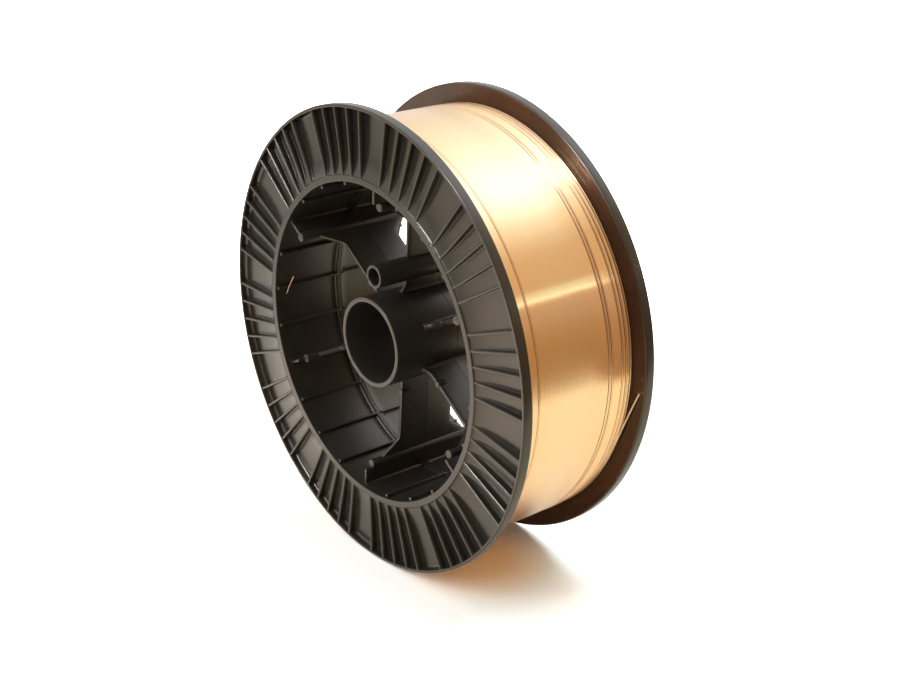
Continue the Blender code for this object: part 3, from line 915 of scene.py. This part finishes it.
def build_world():
    """White to the camera, an even room for diffuse light, and for reflections a studio.

    The studio's brightness goes by the angle round the axis, atan2(x, z) of the ray's direction. Two
    bright stripes run along the axis behind the spool. In front on the right the studio is dim.
    """
    world = bpy.data.worlds.new("studio")
    bpy.context.scene.world = world
    world.use_nodes = True
    nodes, links = world.node_tree.nodes, world.node_tree.links
    direction = nodes.new("ShaderNodeTexCoord")
    parts = nodes.new("ShaderNodeSeparateXYZ")
    angle = nodes.new("ShaderNodeMath")
    angle.operation = "ARCTAN2"
    links.new(direction.outputs["Generated"], parts.inputs["Vector"])
    links.new(parts.outputs["X"], angle.inputs[0])
    links.new(parts.outputs["Z"], angle.inputs[1])
    share = remap(nodes, links, angle.outputs["Value"], -math.pi, math.pi, 0, 1)
    tones = nodes.new("ShaderNodeValToRGB")
    stops = tones.color_ramp.elements
    while len(stops) < len(ROOM_TONES):
        stops.new(0.5)
    for stop, (degrees, colour) in zip(stops, ROOM_TONES):
        stop.position = (degrees + 180) / 360
        stop.color = (*colour, 1)
    links.new(share.outputs["Result"], tones.inputs["Fac"])

    along = remap(nodes, links, parts.outputs["Y"], STRIPE_START, STRIPE_FULL, 0, 1)
    studio = tones.outputs["Color"]
    for middle, half, brightness in STRIPES:
        across = nodes.new("ShaderNodeMath")
        across.operation = "COMPARE"
        across.inputs[1].default_value = math.radians(middle)
        across.inputs[2].default_value = math.radians(half)
        links.new(angle.outputs["Value"], across.inputs[0])
        stripe = product(nodes, links, across.outputs["Value"], along.outputs["Result"])
        studio = mix_colours(nodes, links, stripe, studio, brightness)

    forward = remap(nodes, links, parts.outputs["Y"], -0.4, -0.55, 0, 1)
    right = remap(nodes, links, parts.outputs["X"], 0.1, 0.4, 0, 1)
    corner = product(nodes, links, forward.outputs["Result"], right.outputs["Result"])
    studio = mix_colours(nodes, links, corner, studio, FRONT_RIGHT_TONE)

    path, straight = seen_directly(nodes, links)
    glossy = mix_colours(nodes, links, path.outputs["Is Glossy Ray"], EVEN_TONE, studio)
    seen = mix_colours(nodes, links, straight.outputs["Value"], glossy, (1.0, 1.0, 1.0))
    links.new(seen, nodes["Background"].inputs["Color"])


def area_light(name, place, aim, size, power, mirrored, colour=(1.0, 1.0, 1.0)):
    """A rectangular lamp, which either shows in reflections alone or stays out of them."""
    light = bpy.data.lights.new(name, "AREA")
    light.shape = "RECTANGLE"
    light.size, light.size_y = size
    light.energy = power
    light.color = colour
    lamp = bpy.data.objects.new(name, light)
    lamp.location = place
    lamp.rotation_euler = (Vector(aim) - Vector(place)).to_track_quat("-Z", "Y").to_euler()
    lamp.visible_glossy = mirrored
    lamp.visible_diffuse = not mirrored
    bpy.context.scene.collection.objects.link(lamp)


def build_lights():
    area_light("overhead_softbox", (0.0, 0.5, 1.2), (0.0, 0.5, 0.0), (1.1, 1.0), 21, False)
    area_light("left_softbox", (-1.2, -1.0, 1.0), (0.0, 0.0, 0.0), (1.3, 1.3), 15, False)
    area_light("front_softbox", (0.1, -1.4, 0.9), (0.0, 0.0, 0.0), (0.9, 0.9), 17, False)
    cool = (0.8, 0.95, 1.15)
    area_light("front_lamp", (-0.16, -1.3, 0.92), (0.0, 0.0, 0.0), (0.22, 0.22), 18, True, cool)


def build_camera():
    data = bpy.data.cameras.new("camera")
    data.lens = CAMERA_LENS
    data.sensor_width = SENSOR_WIDTH
    data.sensor_fit = "HORIZONTAL"
    data.clip_start = 0.01
    camera = bpy.data.objects.new("camera", data)
    columns = [CAMERA_RIGHT, CAMERA_UP, CAMERA_BACK]
    turn = Matrix(columns).transposed().to_4x4()
    camera.matrix_world = Matrix.Translation(CAMERA_PLACE) @ turn
    bpy.context.scene.collection.objects.link(camera)
    bpy.context.scene.camera = camera


def build_spool():
    plastic = moulded_plastic()
    ring = moulding_shell()
    inner = half_shells()
    for side, node, turn in (
        ("front", "spool_half_front", False),
        ("rear", "spool_half_rear", True),
    ):
        for name, shells in ((side + "_flange_and_drum", [ring]), (side + "_hub_and_fins", inner)):
            placed = [
                Shell(half_turn(shell.points) if turn else shell.points, shell.closed_rows)
                for shell in shells
            ]
            make_piece(name, placed, plastic, node)


def build_wire():
    bright = coated_wire("copper_coat", (0.94, 0.63, 0.375), (0.93, 0.615, 0.36), 0.2, 1.0)
    coil, dark = coil_shell()
    piece = make_piece("wound_wire", [coil], bright, "wire_coil", sharp=70)
    # The open joints' painted shade, for the wire's material
    joint = piece.data.attributes.new("open_joint_shade", "FLOAT", "POINT")
    joint.data.foreach_set("value", dark.astype(np.float32))
    # The outer end's copper is painted paler, as a painted highlight along it
    pale = coated_wire("copper_tail", (1.0, 0.72, 0.50), (0.95, 0.65, 0.44), 0.35)
    tail = wire_shell(tail_route(), tip=1.7)
    make_piece("wire_outer_end", [tail], pale, "wire_coil")
    red = coated_wire("copper_ends", (0.50, 0.27, 0.22), (0.44, 0.19, 0.14), 0.3)
    make_piece("wire_first_end", [wire_shell(start_route())], red, "wire_coil")


bpy.context.scene.view_settings.view_transform = "Standard"
build_camera()
build_world()
build_lights()
build_stage()
build_spool()
build_wire()
